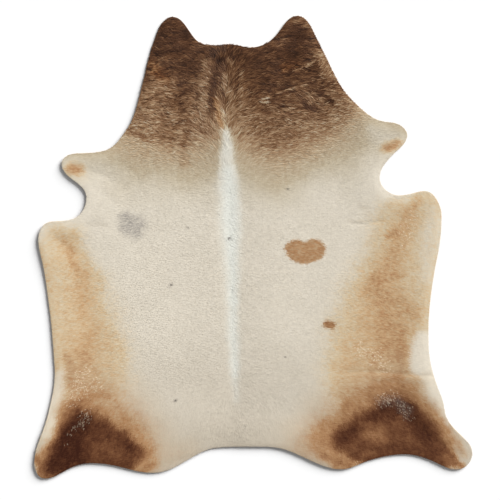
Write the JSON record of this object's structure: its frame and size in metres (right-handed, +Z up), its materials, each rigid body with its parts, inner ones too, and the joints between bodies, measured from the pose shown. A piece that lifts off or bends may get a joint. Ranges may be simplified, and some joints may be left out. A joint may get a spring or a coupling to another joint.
{
  "type": "cowhide",
  "caption": "Whole hair-on cowhide laid flat as a rug, with neck flaps, shanks and a wavy rump edge, beige with a brown neck and brown rump patches.",
  "frame": {"origin": "middle of the hide's box, on its flat underside", "axes": "+Z up out of the coat, +Y along the back towards the neck, +X to the right as seen from above"},
  "size_m": [2.079, 2.197, 0.0069],
  "materials": {
    "coat": "short lying hair in beige, caramel and brown over a suede underside"
  },
  "bodies": {
    "root": {"cowhide": "coat"}
  },
  "joints": []
}
